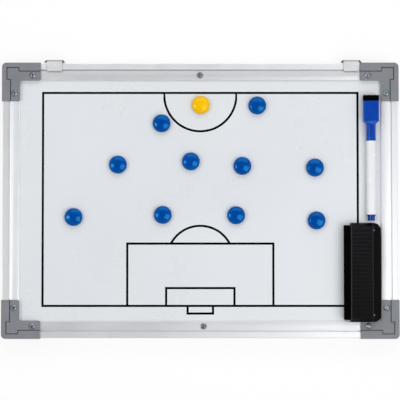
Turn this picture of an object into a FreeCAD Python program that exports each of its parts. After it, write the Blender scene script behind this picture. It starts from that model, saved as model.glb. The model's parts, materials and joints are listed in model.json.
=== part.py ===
import FreeCAD, Part
import Sketcher

import os
import re

# A magnetic tactics board that lies on its back: +Z points out of the writing face,
# +Y toward the hanging clips. The origin is under the middle of the board, on the surface it lies on.

# Driving sizes in millimetres: name, value, what it measures
SIZES = (
    # Board and frame rails
    ("board_width", 451.6, "width over the corner mouldings"),
    ("rail_width", 19.5, "face of a rail, outer edge to lip"),
    ("rail_depth", 16.0, "rail, back to front"),
    ("rail_wall", 1.2, "wall of the hollow rail"),
    ("rail_band", 7.1, "raised band along the outer edge"),
    ("rail_edge_radius", 0.8, "rounding of the outer edges"),
    ("groove_width", 1.3, "groove between the two bands"),
    ("groove_depth", 1.7, "groove below the raised band"),
    ("band_step", 1.1, "inner band below the raised band"),
    ("crown_rise", 0.35, "crown of the inner band"),
    ("lip_wall", 1.3, "thickness of the inner band"),
    ("lip_bead", 1.6, "bead that bears on the panel"),
    ("lip_radius", 0.8, "rounding of the lip"),
    # Panel
    ("sheet_thickness", 0.3, "steel face sheet, and back sheet"),
    ("core_thickness", 9.6, "fibre core between the sheets"),
    ("panel_edge_gap", 0.4, "panel edge to the floor of the rail slot"),
    ("ink_depth", 0.1, "printed lines, level with the lacquer"),
    # Printed pitch
    ("pitch_side_margin", 26.3, "touchline to the lip at each side"),
    ("pitch_top_margin", 14.05, "halfway line to the top lip"),
    ("pitch_bottom_margin", 16.9, "goal line to the bottom lip"),
    ("line_width", 2.55, "printed line"),
    ("centre_circle_radius", 41.1, "half circle on the halfway line"),
    ("centre_circle_drop", 2.7, "its centre below that line"),
    ("penalty_width", 166.0, "penalty area along the goal line"),
    ("penalty_depth", 70.7, "penalty area out from the goal line"),
    ("goal_area_width", 77.6, "goal area along the goal line"),
    ("goal_area_depth", 20.2, "goal area out from the goal line"),
    ("goal_width", 28.8, "goal behind the goal line"),
    ("goal_depth", 8.65, "goal behind the goal line"),
    ("penalty_arc_radius", 37.7, "arc on the penalty area"),
    ("penalty_arc_setback", 17.5, "centre of that arc inside the area's front line"),
    # Corner mouldings
    ("corner_leg", 44.0, "leg, from the outer corner to its end"),
    ("corner_proud", 0.8, "moulding outside the rails"),
    ("corner_overhang", 0.4, "moulding inside the rail lips"),
    ("corner_block_gap", 0.8, "rail ends beyond the inner corner"),
    ("corner_radius", 5.0, "outer corner in plan"),
    ("corner_tip_radius", 2.0, "inner corner at the end of each leg"),
    ("corner_round", 0.9, "outer edges, front and back"),
    ("corner_back_wall", 2.2, "wall behind the rails, which the board rests on"),
    ("corner_front_wall", 1.6, "wall over the rails"),
    ("corner_fit", 0.15, "play between moulding and rail"),
    ("corner_rim", 9.3, "raised rim along the legs"),
    ("corner_boss_rim", 5.2, "raised rim round the boss at the corner"),
    ("corner_boss_end", 19.7, "far side of the boss, from the outer edge"),
    ("corner_recess", 0.8, "inner plate below the rim"),
    ("seam_width", 0.9, "seam groove along the rim"),
    ("seam_depth", 0.9, "seam groove below the inner plate"),
    ("spigot_length", 14.0, "spigot inside the rail"),
    # Screws
    ("screw_end_gap", 9.0, "corner screw to the end of its leg"),
    ("screw_head_radius", 3.5, "pan head"),
    ("screw_head_height", 2.0, "pan head"),
    ("screw_head_rim", 0.7, "straight side of the head"),
    ("screw_shank_radius", 1.7, "shank"),
    ("screw_length", 9.5, "under the head"),
    ("screw_tip", 2.4, "pointed end"),
    ("screw_gap", 0.15, "hole round the shank"),
    ("cross_span", 3.8, "cross recess, end to end"),
    ("cross_width", 0.9, "cross recess, each slot"),
    ("cross_depth", 1.1, "cross recess"),
    ("top_screw_shift", 0.4, "top rail screw to the left of the middle"),
    ("bottom_screw_shift", 3.7, "bottom rail screw to the right of the middle"),
    # Hanging clips
    ("clip_width", 17.4, "front of a clip"),
    ("clip_wall", 1.5, "wall of a clip"),
    ("clip_gap", 0.25, "play round the rail"),
    ("clip_rise", 2.9, "clip above the rail"),
    ("clip_lip_overlap", 0.5, "front lip past the groove"),
    ("clip_round", 0.6, "edges of the front"),
    ("clip_bead_width", 0.9, "bead along the top of the front"),
    ("clip_groove_width", 0.7, "groove below that bead"),
    ("clip_groove_depth", 0.6, "groove below that bead"),
    ("wing_width", 24.4, "plate behind the front, end to end"),
    ("wing_rise", 3.6, "that plate above the rail"),
    ("wing_slope", 2.5, "sloped ends of that plate"),
    ("tongue_width", 18.0, "rear tongue behind the panel"),
    ("tongue_length", 35.0, "rear tongue below the rail edge"),
    ("keyhole_entry_radius", 4.0, "entry for the head of a wall screw"),
    ("keyhole_slot_radius", 2.1, "slot for its shank"),
    ("keyhole_slot_length", 6.0, "entry centre to the end of the slot"),
    ("keyhole_end_gap", 8.0, "entry centre to the end of the tongue"),
    ("left_clip_gap", 6.8, "left clip to the corner beside it"),
    ("right_clip_gap", 1.0, "right clip to the corner beside it"),
    # Magnets
    ("magnet_radius", 10.3, "plastic cap"),
    ("magnet_height", 7.6, "plastic cap"),
    ("magnet_dome_radius", 22.0, "top of the cap"),
    ("magnet_shoulder_radius", 4.0, "shoulder of the cap"),
    ("ferrite_radius", 7.5, "disc in the cap"),
    ("ferrite_thickness", 3.5, "disc in the cap"),
    ("ferrite_gap", 0.1, "glue round the disc"),
    # Eraser, lying on its side
    ("eraser_length", 112.0, "shell along the board's right side"),
    ("eraser_back", 34.7, "shell, felt side to back"),
    ("eraser_thickness", 15.0, "shell above the board"),
    ("eraser_wall", 2.0, "shell wall"),
    ("eraser_corner_radius", 8.4, "back corners"),
    ("eraser_face_radius", 2.0, "back corners of the flat faces"),
    ("eraser_back_bevel", 9.6, "bevel along the back, across"),
    ("eraser_end_bevel", 4.0, "bevel at the ends, across"),
    ("eraser_bevel_depth", 7.0, "bevels, down from the flat faces"),
    ("rib_groove_width", 1.6, "grooves between the grip ribs"),
    ("rib_groove_depth", 0.35, "grooves between the grip ribs"),
    ("rib_margin", 5.0, "first groove to the end of the flat face"),
    ("rib_inset", 2.0, "ends of the grooves to the edges of the flat face"),
    ("base_plate_thickness", 3.0, "plate in the mouth of the shell"),
    ("base_plate_gap", 0.15, "play round that plate"),
    ("felt_thickness", 7.2, "wiping felt"),
    ("felt_end_inset", 2.4, "felt inside the ends of the shell"),
    ("felt_side_inset", 1.5, "felt inside the flat faces of the shell"),
    ("bar_magnet_length", 60.0, "bar magnet behind the plate"),
    ("bar_magnet_width", 8.0, "bar magnet"),
    ("bar_magnet_thickness", 4.0, "bar magnet"),
    ("eraser_side_gap", 0.6, "eraser to the corner moulding, sideways"),
    ("eraser_end_gap", 0.3, "end bevel of the eraser to the corner moulding's edge"),
    # Marker
    ("marker_side_gap", 2.7, "cap head to the rail lip"),
    ("marker_tail_gap", 2.6, "marker to the eraser"),
    ("marker_head_room", 17.2, "cap to the top lip, to draw the cap off"),
    ("barrel_radius", 5.44, "barrel"),
    ("barrel_length", 83.7, "barrel outside the cap"),
    ("barrel_wall", 0.9, "barrel"),
    ("barrel_gap", 0.3, "barrel above the writing face"),
    ("barrel_shoulder", 3.0, "solid shoulder behind the neck"),
    ("neck_radius", 4.2, "neck inside the cap"),
    ("neck_length", 11.0, "neck inside the cap"),
    ("neck_wall", 0.8, "neck"),
    ("plug_length", 6.9, "tail plug outside the barrel"),
    ("plug_radius", 4.25, "tail plug"),
    ("plug_flange", 1.0, "flange against the barrel"),
    ("plug_insert", 5.0, "plug inside the barrel"),
    ("plug_groove", 0.8, "grooves round the plug, and lands beside them"),
    ("plug_groove_depth", 0.5, "grooves round the plug"),
    ("inner_gap", 0.1, "play of the pieces inside the barrel"),
    ("holder_nose", 5.0, "nib holder beyond the neck"),
    ("holder_tip_radius", 2.4, "nib holder at its tip"),
    ("nib_radius", 1.5, "nib"),
    ("nib_reach", 4.0, "nib beyond its holder"),
    ("nib_tip_radius", 0.6, "worn end of the nib"),
    ("nib_tip_length", 2.0, "taper of the nib"),
    ("cap_radius", 5.4, "cap sleeve"),
    ("cap_sleeve", 19.3, "cap sleeve"),
    ("cap_shoulder", 2.9, "cap, sleeve to head"),
    ("cap_gap", 0.3, "cap round the neck"),
    ("cap_end_room", 2.0, "cap bore beyond the nib"),
    ("head_width", 17.9, "cap head across"),
    ("head_length", 23.1, "cap head along the marker"),
    ("head_corner_radius", 2.4, "edges of the cap head"),
    ("cap_felt_length", 6.8, "felt on the end of the cap"),
    ("cap_felt_inset", 0.1, "felt inside the outline of the head"),
    ("disc_radius", 4.0, "magnet in the flat of the head"),
    ("disc_thickness", 2.4, "magnet in the flat of the head"),
    ("disc_end_gap", 9.5, "middle of that magnet to the end of the head"),
    # All cuts run this far past the faces that they open
    ("overrun", 1.0, "overrun of cuts"),
)

# Sizes and places that follow from the driving sizes
PLACES = (
    # Rails, as distances in from the outer edge and up from the back
    ("groove_end", "rail_band + groove_width"),
    ("slot_floor", "groove_end + rail_wall"),
    ("band_top", "rail_depth - band_step"),
    ("crown_end", "rail_width - lip_radius"),
    ("crown_middle", "(groove_end + crown_end) / 2"),
    ("crown_half", "(crown_end - groove_end) / 2"),
    ("crown_radius", "(crown_half ^ 2 + crown_rise ^ 2) / (2 * crown_rise)"),
    ("crown_top", "band_top + crown_rise"),
    ("panel_depth", "core_thickness + 2 * sheet_thickness"),
    ("slot_bottom", "(rail_depth - panel_depth) / 2"),
    ("slot_top", "slot_bottom + panel_depth"),
    ("bead_start", "rail_width - lip_bead"),
    ("band_wall_end", "rail_band - rail_wall"),
    ("groove_wall", "groove_depth + rail_wall"),
    # Heights
    ("rail_z", "corner_back_wall"),
    ("panel_back", "rail_z + slot_bottom"),
    ("writing_face", "rail_z + slot_top"),
    ("corner_depth", "rail_z + rail_depth + corner_fit + corner_front_wall"),
    ("plate_top", "corner_depth - corner_recess"),
    # Column of marker and eraser beside the right rail, which sets the board's height. The eraser's end
    # bevel reaches over the corner moulding.
    ("eraser_overhang", "eraser_end_bevel * (1 - (plate_top - writing_face) / eraser_bevel_depth)"),
    ("eraser_end", "corner_overhang + eraser_end_gap - eraser_overhang"),
    ("head_thickness", "2 * (barrel_radius + barrel_gap)"),
    ("cap_start", "plug_length + barrel_length"),
    ("head_start", "cap_start + cap_sleeve + cap_shoulder"),
    ("head_end", "head_start + head_length"),
    ("marker_length", "head_end + cap_felt_length"),
    ("corner_width", "corner_proud + rail_width + corner_overhang"),
    ("column", "eraser_end + eraser_length + marker_tail_gap + marker_length"),
    ("view_height", "column + marker_head_room"),
    ("board_height", "view_height + 2 * (corner_proud + rail_width)"),
    # Board, measured from its middle
    ("half_width", "board_width / 2"),
    ("half_height", "board_height / 2"),
    ("rail_x", "half_width - corner_proud"),
    ("rail_y", "half_height - corner_proud"),
    ("lip_x", "rail_x - rail_width"),
    ("lip_y", "rail_y - rail_width"),
    ("rail_end", "corner_width + corner_block_gap"),
    ("panel_inset", "corner_proud + slot_floor + panel_edge_gap"),
    ("panel_x", "half_width - panel_inset"),
    ("panel_y", "half_height - panel_inset"),
    # Corner mouldings
    ("band_pocket_end", "corner_proud + rail_band + corner_fit"),
    ("sleeve_mouth", "corner_width + corner_block_gap / 2"),
    # Screws
    ("screw_inset", "corner_proud + crown_middle"),
    ("screw_along", "corner_leg - screw_end_gap"),
    ("screw_x", "half_width - screw_inset"),
    ("screw_y", "half_height - screw_inset"),
    ("screw_end_x", "half_width - screw_along"),
    ("screw_end_y", "half_height - screw_along"),
    ("rail_screw_seat", "rail_z + crown_top"),
    ("hole_radius", "screw_shank_radius + screw_gap"),
    ("hole_bottom", "rail_screw_seat - screw_length - screw_gap"),
    ("head_dome", "screw_head_height - screw_head_rim"),
    ("head_dome_radius", "(screw_head_radius ^ 2 + head_dome ^ 2) / (2 * head_dome)"),
    # Printed pitch
    ("pitch_x", "lip_x - pitch_side_margin"),
    ("pitch_top", "lip_y - pitch_top_margin"),
    ("pitch_bottom", "pitch_bottom_margin - lip_y"),
    ("pitch_height", "pitch_top - pitch_bottom"),
    ("ink_base", "writing_face - ink_depth"),
    ("half_line", "line_width / 2"),
    ("penalty_line", "pitch_bottom + penalty_depth"),
    # Hanging clips
    ("clip_reach", "groove_end + clip_lip_overlap"),
    ("hook_start", "rail_band + clip_gap"),
    ("hook_end", "groove_end - clip_gap"),
    ("hook_depth", "groove_depth - clip_gap"),
    ("clip_front", "rail_depth + clip_gap"),
    ("tongue_hole", "tongue_length - keyhole_end_gap"),
    ("keyhole_chord", "sqrt(keyhole_entry_radius ^ 2 - keyhole_slot_radius ^ 2)"),
    ("wing_base", "corner_proud + clip_gap"),
    ("left_clip_x", "corner_leg + left_clip_gap + tongue_width / 2 - half_width"),
    ("right_clip_x", "half_width - corner_leg - right_clip_gap - tongue_width / 2"),
    # Magnets
    ("dome_centre", "magnet_height - magnet_dome_radius"),
    ("shoulder_x", "magnet_radius - magnet_shoulder_radius"),
    ("dome_run", "magnet_dome_radius - magnet_shoulder_radius"),
    ("shoulder_rise", "sqrt(dome_run ^ 2 - shoulder_x ^ 2)"),
    ("shoulder_z", "dome_centre + shoulder_rise"),
    ("dome_edge_x", "shoulder_x * magnet_dome_radius / dome_run"),
    ("dome_edge_z", "dome_centre + shoulder_rise * magnet_dome_radius / dome_run"),
    # Eraser
    ("eraser_half", "eraser_length / 2"),
    ("eraser_face_half", "eraser_half - eraser_end_bevel"),
    ("eraser_face_back", "eraser_back - eraser_back_bevel"),
    ("eraser_x", "half_width - corner_width - eraser_side_gap - eraser_back"),
    ("eraser_y", "eraser_end + eraser_half - lip_y"),
    ("cavity_half", "eraser_face_half - eraser_wall"),
    ("cavity_depth", "eraser_face_back - eraser_wall"),
    ("rib_run", "2 * (eraser_face_half - rib_margin)"),
    # Marker
    ("marker_x", "lip_x - marker_side_gap - head_width / 2"),
    ("marker_y", "eraser_y + eraser_half + marker_tail_gap"),
    ("marker_z", "writing_face + head_thickness / 2"),
    ("barrel_bore", "barrel_radius - barrel_wall"),
    ("neck_end", "cap_start + neck_length"),
    ("neck_bore", "neck_radius - neck_wall"),
    ("bore_end", "cap_start - barrel_shoulder"),
    ("holder_end", "neck_end + holder_nose"),
    ("nib_end", "holder_end + nib_reach"),
    ("cap_bore", "neck_radius + cap_gap"),
    ("reservoir_start", "plug_length + plug_insert"),
)

# Places of the magnets: shares of the pitch's half width from the middle, and of its height down from the top
KEEPER_SHARES = (0.003, 0.0575)
PLAYER_SHARES = (
    (-0.246, 0.144),
    (0.362, 0.060),
    (-0.523, 0.338),
    (-0.060, 0.323),
    (0.267, 0.344),
    (0.728, 0.352),
    (-0.804, 0.584),
    (-0.238, 0.574),
    (0.227, 0.576),
    (0.737, 0.600),
)
# The cap's sleeve ends in a square whose corner rounding takes nearly all of each side
SLEEVE_ROUND_SHARE = 0.97
RIB_COUNT = 22
# Points closer than this are the same point
TOLERANCE = 0.00001

FULL_TURN = 360
QUARTER_TURN = 90
X_AXIS = FreeCAD.Vector(1, 0, 0)
Y_AXIS = FreeCAD.Vector(0, 1, 0)
Z_AXIS = FreeCAD.Vector(0, 0, 1)
# Turns a rail's section (in, out, along) onto the bottom rail's (+Y, +Z, +X)
RAIL_TURN = FreeCAD.Rotation(FreeCAD.Vector(1, 1, 1), 120)
# Lays a piece that was turned about Z along +Y, with its own +Y side down
LYING_TURN = FreeCAD.Rotation(X_AXIS, -QUARTER_TURN)

SIZE_NAMES = {size[0] for size in SIZES}
PLACE_NAMES = {place[0] for place in PLACES}

doc = FreeCAD.newDocument("tactics_board")
subparts = []


# Expressions

def bind(text, inside_places=False):
    """Puts its sheet's name in front of every size and place that an expression names."""
    def sheet_name(match):
        word = match.group()
        if word in SIZE_NAMES:
            return "sizes." + word
        if word in PLACE_NAMES and not inside_places:
            return "places." + word
        return word
    return re.sub(r"[a-z][a-z_]*", sheet_name, text)


def value(text):
    """Works out an expression of named sizes."""
    return float(places.evalExpression(bind(text, inside_places=True)))


def fill_sheets():
    """Writes the driving sizes, then the places that follow from them."""
    for row, (name, size, meaning) in enumerate(SIZES, 1):
        sizes.set(f"A{row}", name)
        sizes.set(f"B{row}", str(size))
        sizes.set(f"C{row}", meaning)
        sizes.setAlias(f"B{row}", name)
    doc.recompute()
    for row, (name, formula) in enumerate(PLACES, 1):
        places.set(f"A{row}", name)
        places.setAlias(f"B{row}", name)
    for row, (name, formula) in enumerate(PLACES, 1):
        places.set(f"B{row}", "=" + bind(formula, inside_places=True))
    doc.recompute()


# Sketches

def new_sketch(body, role, lift="0"):
    """Starts a sketch on one of the body's origin planes, lifted along that plane's normal."""
    sketch = body.newObject("Sketcher::SketchObject", body.Name + "_sketch")
    plane = next(f for f in body.Origin.OriginFeatures if f.Role == role)
    sketch.AttachmentSupport = (plane, [""])
    sketch.MapMode = "FlatFace"
    if lift != "0":
        sketch.setExpression("AttachmentOffset.Base.z", bind(lift))
    return sketch


def fix(sketch, geometry, point, x=None, y=None):
    """Ties a point of the sketch to expressions for its coordinates."""
    for kind, axis, text in (("DistanceX", -2, x), ("DistanceY", -1, y)):
        if text == "0":
            sketch.addConstraint(Sketcher.Constraint("PointOnObject", geometry, point, axis))
        elif text:
            tie = Sketcher.Constraint(kind, -1, 1, geometry, point, value(text))
            index = sketch.addConstraint(tie)
            sketch.setExpression(f"Constraints[{index}]", bind(text))


def outline(sketch, corners):
    """Draws a closed loop of (x, y) corners. A corner that also gives (centre x, centre y, turn)
    starts an arc about that centre to the next corner, turning left or right."""
    spots = [FreeCAD.Vector(value(corner[0]), value(corner[1]), 0) for corner in corners]
    first = sketch.GeometryCount
    ends = []
    for corner, start, end in zip(corners, spots, spots[1:] + spots[:1]):
        if len(corner) == 2:
            sketch.addGeometry(Part.LineSegment(start, end), False)
            ends.append((1, 2))
            continue
        centre = FreeCAD.Vector(value(corner[2]), value(corner[3]), 0)
        whole = Part.Circle(centre, Z_AXIS, (start - centre).Length)
        left = corner[4] == "left"
        near, far = (start, end) if left else (end, start)
        arc = Part.ArcOfCircle(whole, whole.parameter(near), whole.parameter(far))
        sketch.addGeometry(arc, False)
        ends.append((1, 2) if left else (2, 1))
    count = len(corners)
    for i in range(count):
        after = (i + 1) % count
        join = Sketcher.Constraint("Coincident", first + i, ends[i][1], first + after, ends[after][0])
        sketch.addConstraint(join)
    for i, corner in enumerate(corners):
        fix(sketch, first + i, ends[i][0], corner[0], corner[1])
        if len(corner) > 2:
            chord = spots[(i + 1) % count] - spots[i]
            sideways = abs(chord.y) > abs(chord.x)
            fix(sketch, first + i, 3, corner[2] if sideways else None, None if sideways else corner[3])


def circle(sketch, x, y, radius):
    """Draws a circle."""
    centre = FreeCAD.Vector(value(x), value(y), 0)
    index = sketch.addGeometry(Part.Circle(centre, Z_AXIS, value(radius)), False)
    fix(sketch, index, 3, x, y)
    tie = sketch.addConstraint(Sketcher.Constraint("Radius", index, value(radius)))
    sketch.setExpression(f"Constraints[{tie}]", bind(radius))


def rectangle(sketch, x0, y0, x1, y1):
    """Draws a rectangle between two opposite corners."""
    outline(sketch, [(x0, y0), (x1, y0), (x1, y1), (x0, y1)])


def rounded_rectangle(sketch, half_x, half_y, radius):
    """Draws a rectangle about the origin with rounded corners."""
    inner_x = f"({half_x} - ({radius}))"
    inner_y = f"({half_y} - ({radius}))"
    outline(sketch, [
        (f"-{inner_x}", f"-({half_y})"),
        (inner_x, f"-({half_y})", inner_x, f"-{inner_y}", "left"),
        (half_x, f"-{inner_y}"),
        (half_x, inner_y, inner_x, inner_y, "left"),
        (inner_x, half_y),
        (f"-{inner_x}", half_y, f"-{inner_x}", inner_y, "left"),
        (f"-({half_x})", inner_y),
        (f"-({half_x})", f"-{inner_y}", f"-{inner_x}", f"-{inner_y}", "left"),
    ])


# Features

def new_body(label):
    """Starts a piece that is built from sketches."""
    body = doc.addObject("PartDesign::Body", label)
    body.Label = label
    return body


def keep(piece, label):
    """Names a finished piece and lists it among the sub-parts."""
    piece.Label = label
    subparts.append(piece)
    return piece


def place(piece, x="0", y="0", z="0", rotation=FreeCAD.Rotation()):
    """Puts a piece at expressions for its place."""
    piece.Placement = FreeCAD.Placement(FreeCAD.Vector(), rotation)
    for axis, text in (("x", x), ("y", y), ("z", z)):
        if text != "0":
            piece.setExpression("Placement.Base." + axis, bind(text))


def pad(body, sketch, length, both_ways=False):
    """Raises a sketch along its normal, or evenly to both sides."""
    feature = body.newObject("PartDesign::Pad", body.Name + "_pad")
    feature.Profile = sketch
    feature.setExpression("Length", bind(length))
    if both_ways:
        feature.SideType = "Symmetric"
    doc.recompute()
    return feature


def pocket(body, sketch, depth, along_normal=False):
    """Cuts a sketch into the body, against its normal unless told otherwise."""
    before = body.Shape.Volume
    feature = body.newObject("PartDesign::Pocket", body.Name + "_pocket")
    feature.Profile = sketch
    feature.setExpression("Length", bind(depth))
    feature.Reversed = along_normal
    doc.recompute()
    if body.Shape.Volume >= before:
        raise ValueError(f"a pocket of {body.Label} cuts nothing")
    return feature


def turn(body, corners):
    """Turns an outline of (radius, height) corners about the body's Z axis."""
    sketch = new_sketch(body, "XZ_Plane")
    outline(sketch, corners)
    feature = body.newObject("PartDesign::Revolution", body.Name + "_turn")
    feature.Profile = sketch
    feature.ReferenceAxis = (sketch, ["V_Axis"])
    feature.Angle = FULL_TURN
    doc.recompute()
    return feature


def loft(body, sketches):
    """Joins sketches with straight-sided walls."""
    feature = body.newObject("PartDesign::AdditiveLoft", body.Name + "_loft")
    feature.Profile = sketches[0]
    feature.Sections = sketches[1:]
    feature.Ruled = True
    doc.recompute()
    return feature


def round_edges(body, wanted, radius):
    """Rounds the edges of the body that the test picks out."""
    base = body.Tip
    names = [f"Edge{i}" for i, edge in enumerate(base.Shape.Edges, 1) if wanted(edge)]
    feature = body.newObject("PartDesign::Fillet", body.Name + "_round")
    feature.Base = (base, names)
    feature.setExpression("Radius", bind(radius))
    doc.recompute()
    return feature


def lies_at(edge, axis, text):
    """Says whether an edge lies in the plane where that coordinate has the stated value."""
    spots = [getattr(vertex.Point, axis) for vertex in edge.Vertexes]
    return all(abs(spot - value(text)) < TOLERANCE for spot in spots)


def box(label, x0, y0, z0, x1, y1, z1):
    """Makes a block between two opposite corners."""
    piece = doc.addObject("Part::Box", label)
    for side, low, high in (("Length", x0, x1), ("Width", y0, y1), ("Height", z0, z1)):
        piece.setExpression(side, bind(f"({high}) - ({low})"))
    place(piece, x0, y0, z0)
    return piece


def cylinder(label, radius, x, y, z0, z1):
    """Makes an upright cylinder."""
    piece = doc.addObject("Part::Cylinder", label)
    piece.setExpression("Radius", bind(radius))
    piece.setExpression("Height", bind(f"({z1}) - ({z0})"))
    place(piece, x, y, z0)
    return piece


def cut(label, base, tool):
    """Takes one shape out of another."""
    piece = doc.addObject("Part::Cut", label)
    piece.Base = base
    piece.Tool = tool
    return piece


def group(label, pieces):
    """Holds separate solids as one shape."""
    piece = doc.addObject("Part::Compound", label)
    piece.Links = pieces
    return piece


def at_four_corners(label, pieces):
    """Repeats what stands at one corner of the board at the other three."""
    one = group(label + "_one_corner", pieces)
    across = doc.addObject("Part::Mirroring", label + "_across")
    across.Source = one
    across.Normal = X_AXIS
    two = group(label + "_two_corners", [one, across])
    down = doc.addObject("Part::Mirroring", label + "_down")
    down.Source = two
    down.Normal = Y_AXIS
    return group(label, [two, down])


# Frame

def rail_section():
    """Lists the corners of a rail's outside, the same at the back and at the front."""
    crown_back = "band_step - crown_rise + crown_radius"
    crown_front = "crown_top - crown_radius"
    lip_back = "band_step + lip_radius"
    lip_front = "band_top - lip_radius"
    under_back = "band_step + lip_wall"
    under_front = "band_top - lip_wall"
    floor_front = "rail_depth - groove_depth"
    edge_front = "rail_depth - rail_edge_radius"
    return [
        ("rail_edge_radius", "0"),
        ("rail_band", "0"),
        ("rail_band", "groove_depth"),
        ("groove_end", "groove_depth"),
        ("groove_end", "band_step", "crown_middle", crown_back, "left"),
        ("crown_end", "band_step", "crown_end", lip_back, "left"),
        ("rail_width", lip_back),
        ("rail_width", "slot_bottom"),
        ("bead_start", "slot_bottom"),
        ("bead_start", under_back),
        ("slot_floor", under_back),
        ("slot_floor", under_front),
        ("bead_start", under_front),
        ("bead_start", "slot_top"),
        ("rail_width", "slot_top"),
        ("rail_width", lip_front, "crown_end", lip_front, "left"),
        ("crown_end", "band_top", "crown_middle", crown_front, "left"),
        ("groove_end", "band_top"),
        ("groove_end", floor_front),
        ("rail_band", floor_front),
        ("rail_band", "rail_depth"),
        ("rail_edge_radius", "rail_depth", "rail_edge_radius", edge_front, "left"),
        ("0", edge_front),
        ("0", "rail_edge_radius", "rail_edge_radius", "rail_edge_radius", "left"),
    ]


def rail_chamber():
    """Lists the corners of the hollow that takes the spigots."""
    return [
        ("rail_wall", "rail_wall"),
        ("band_wall_end", "rail_wall"),
        ("band_wall_end", "groove_wall"),
        ("groove_end", "groove_wall"),
        ("groove_end", "rail_depth - groove_wall"),
        ("band_wall_end", "rail_depth - groove_wall"),
        ("band_wall_end", "rail_depth - rail_wall"),
        ("rail_wall", "rail_depth - rail_wall"),
    ]


def rail(label, half_length, screws, x, y, quarter):
    """Makes a rail with holes for screws at stated places along it."""
    body = new_body(label)
    section = new_sketch(body, "XY_Plane")
    outline(section, rail_section())
    outline(section, rail_chamber())
    pad(body, section, f"2 * ({half_length})", both_ways=True)
    holes = new_sketch(body, "XZ_Plane", "-(crown_top + overrun)")
    for along in screws:
        circle(holes, "crown_middle", along, "hole_radius")
    pocket(body, holes, "crown_top + overrun - slot_top", along_normal=True)
    spin = FreeCAD.Rotation(Z_AXIS, quarter * QUARTER_TURN)
    place(body, x, y, "rail_z", spin * RAIL_TURN)
    keep(body, label)


def rails():
    """Makes the four rails."""
    long_ends = ["-screw_end_x", "screw_end_x"]
    short_ends = ["-screw_end_y", "screw_end_y"]
    long_half = "half_width - rail_end"
    short_half = "half_height - rail_end"
    rail("bottom_rail", long_half, long_ends + ["bottom_screw_shift"], "0", "-rail_y", 0)
    rail("right_rail", short_half, short_ends, "rail_x", "0", 1)
    rail("top_rail", long_half, long_ends + ["top_screw_shift"], "0", "rail_y", 2)
    rail("left_rail", short_half, short_ends, "-rail_x", "0", 3)


def both_legs(sketch, corners):
    """Draws an outline on one leg of a corner moulding, and its mirror image on the other leg."""
    outline(sketch, corners)
    outline(sketch, [(y, x) for x, y in corners])


def leg_rectangle(sketch, start, low, end, high):
    """Draws the same rectangle on both legs of a corner moulding."""
    both_legs(sketch, [(start, low), (end, low), (end, high), (start, high)])


def corner_plan():
    """Lists the corners of a moulding seen from the front, with its rounded outer corner and leg tips."""
    tip_end = "corner_leg - corner_tip_radius"
    tip_side = "corner_width - corner_tip_radius"
    return [
        ("corner_radius", "0"),
        ("corner_leg", "0"),
        ("corner_leg", tip_side, tip_end, tip_side, "left"),
        (tip_end, "corner_width"),
        ("corner_width", "corner_width"),
        ("corner_width", tip_end, tip_side, tip_end, "left"),
        (tip_side, "corner_leg"),
        ("0", "corner_leg"),
        ("0", "corner_radius", "corner_radius", "corner_radius", "left"),
    ]


def inner_plate(back="0"):
    """Lists the corners of the plate inside the raised rim, set back from the rim by a stated width."""
    rim = f"corner_rim + {back}"
    boss = f"corner_boss_rim + {back}"
    boss_end = f"corner_boss_end - {back}"
    end = "corner_leg + overrun"
    first_leg = [(end, rim), (boss_end, rim), (boss_end, boss)]
    return first_leg + [(boss, boss)] + [(y, x) for x, y in first_leg[::-1]]


def corner(label, x, y, quarter):
    """Makes a corner moulding: a sleeve over two rail ends, with a spigot into each."""
    body = new_body(label)
    plan = new_sketch(body, "XY_Plane")
    outline(plan, corner_plan())
    pad(body, plan, "corner_depth")

    def on_outer_face(edge):
        flat = lies_at(edge, "z", "0") or lies_at(edge, "z", "corner_depth")
        return flat and all(min(vertex.X, vertex.Y) < TOLERANCE for vertex in edge.Vertexes)
    round_edges(body, on_outer_face, "corner_round")

    end = "corner_leg + overrun"
    inside = "corner_width + overrun"
    sleeve = new_sketch(body, "XY_Plane", "rail_z")
    leg_rectangle(sleeve, "rail_end", "corner_proud", end, "sleeve_mouth")
    pocket(body, sleeve, "crown_top + corner_fit", along_normal=True)
    band = new_sketch(body, "XY_Plane", "rail_z")
    leg_rectangle(band, "rail_end", "corner_proud", end, "band_pocket_end")
    pocket(body, band, "rail_depth + corner_fit", along_normal=True)

    slot = new_sketch(body, "XY_Plane", "panel_back")
    panel_corner = "panel_inset - panel_edge_gap"
    rectangle(slot, panel_corner, panel_corner, inside, inside)
    pocket(body, slot, "panel_depth", along_normal=True)

    spigots = new_sketch(body, "XY_Plane", "rail_z + rail_wall + corner_fit")
    low = "corner_proud + rail_wall + corner_fit"
    high = "corner_proud + band_wall_end - corner_fit"
    leg_rectangle(spigots, "rail_end - overrun", low, "rail_end + spigot_length", high)
    pad(body, spigots, "rail_depth - 2 * (rail_wall + corner_fit)")

    plate = new_sketch(body, "XY_Plane", "plate_top")
    outline(plate, inner_plate() + [(inside, end), (inside, inside), (end, inside)])
    pocket(body, plate, "corner_recess + overrun", along_normal=True)
    seam = new_sketch(body, "XY_Plane", "plate_top - seam_depth")
    outline(seam, inner_plate() + inner_plate("seam_width")[::-1])
    pocket(body, seam, "seam_depth + overrun", along_normal=True)

    holes = new_sketch(body, "XY_Plane", "rail_z + crown_top")
    circle(holes, "screw_along", "screw_inset", "hole_radius")
    circle(holes, "screw_inset", "screw_along", "hole_radius")
    pocket(body, holes, "corner_depth", along_normal=True)
    place(body, x, y, "0", FreeCAD.Rotation(Z_AXIS, quarter * QUARTER_TURN))
    keep(body, label)


def corners():
    """Makes the four corner mouldings, each the same piece turned round."""
    corner("corner_bottom_left", "-half_width", "-half_height", 0)
    corner("corner_bottom_right", "half_width", "-half_height", 1)
    corner("corner_top_right", "half_width", "half_height", 2)
    corner("corner_top_left", "-half_width", "half_height", 3)


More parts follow.
